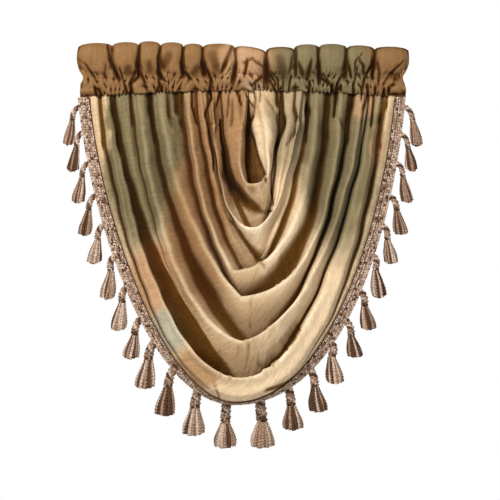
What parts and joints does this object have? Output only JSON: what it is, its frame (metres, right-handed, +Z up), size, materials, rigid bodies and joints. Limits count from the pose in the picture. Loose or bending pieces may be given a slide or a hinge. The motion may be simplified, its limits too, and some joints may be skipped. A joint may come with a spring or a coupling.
{
  "type": "waterfall swag valance",
  "caption": "Satin waterfall swag valance with nested cowl folds, a gathered rod-pocket heading, a woven braid trim and hanging yarn tassels.",
  "frame": {"origin": "middle of the heading's top edge, on the plane of the rod's axis", "axes": "+Z up, +X to the right seen from the front, the front faces -Y"},
  "size_m": [0.833, 0.1249, 0.9447],
  "materials": {
    "swag_satin": "soft satin, dyed in green, brown and cream",
    "heading_satin": "soft satin, dyed from bronze to green",
    "braid_weave": "matt woven tape of taupe yarns",
    "tassel_yarn": "matt twisted yarn"
  },
  "bodies": {
    "root": {"swag": "swag_satin", "heading": "heading_satin", "braid": "braid_weave", "tassel_01": "tassel_yarn", "tassel_02": "tassel_yarn", "tassel_03": "tassel_yarn", "tassel_04": "tassel_yarn", "tassel_05": "tassel_yarn", "tassel_06": "tassel_yarn", "tassel_07": "tassel_yarn", "tassel_08": "tassel_yarn", "tassel_09": "tassel_yarn", "tassel_10": "tassel_yarn", "tassel_11": "tassel_yarn", "tassel_12": "tassel_yarn", "tassel_13": "tassel_yarn", "tassel_14": "tassel_yarn", "tassel_15": "tassel_yarn", "tassel_16": "tassel_yarn", "tassel_17": "tassel_yarn", "tassel_18": "tassel_yarn", "tassel_19": "tassel_yarn", "tassel_20": "tassel_yarn", "tassel_21": "tassel_yarn", "tassel_22": "tassel_yarn", "tassel_23": "tassel_yarn", "tassel_24": "tassel_yarn"}
  },
  "joints": []
}
